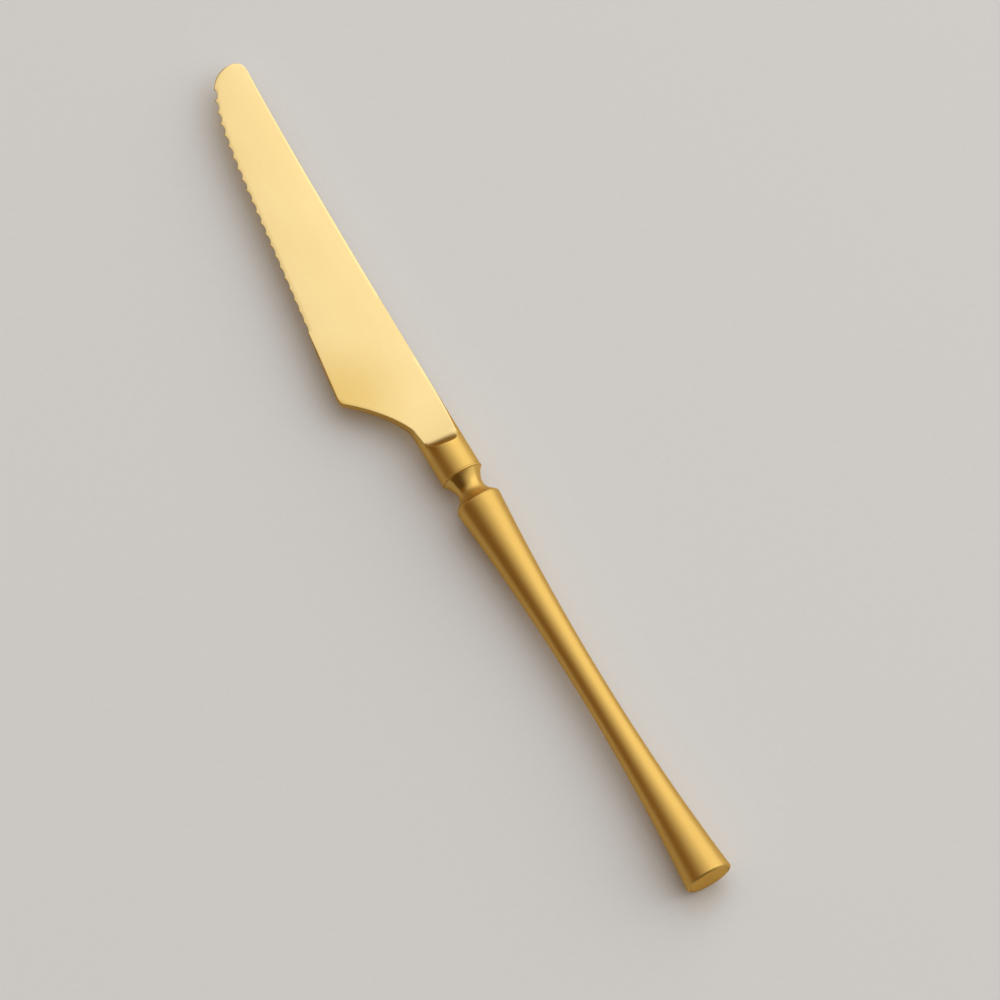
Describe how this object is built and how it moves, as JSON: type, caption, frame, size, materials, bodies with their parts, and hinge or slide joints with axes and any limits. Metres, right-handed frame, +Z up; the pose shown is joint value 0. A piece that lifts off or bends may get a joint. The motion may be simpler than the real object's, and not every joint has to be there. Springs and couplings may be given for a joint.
{
  "type": "steak knife",
  "caption": "Table steak knife with a flat scallop-serrated blade, round bolster, turned neck and hollow waisted round handle, for cutting cooked meat at the table.",
  "frame": {"origin": "on the table under the middle of the knife's box, as it lies flat", "axes": "+X from the butt to the tip, +Y from the spine to the cutting edge, +Z up, square to the blade"},
  "size_m": [0.235, 0.0234, 0.0122],
  "materials": {
    "blade_gold": "satin gold coating, brushed along the blade",
    "handle_gold": "satin gold coating",
    "cap_gold": "satin gold coating, brushed across the end",
    "cement": "set resin cement, hidden"
  },
  "bodies": {
    "root": {"blade": "blade_gold", "handle_shell_upper": "handle_gold", "handle_shell_lower": "handle_gold", "end_cap": "cap_gold", "tang_cement": "cement"}
  },
  "joints": []
}
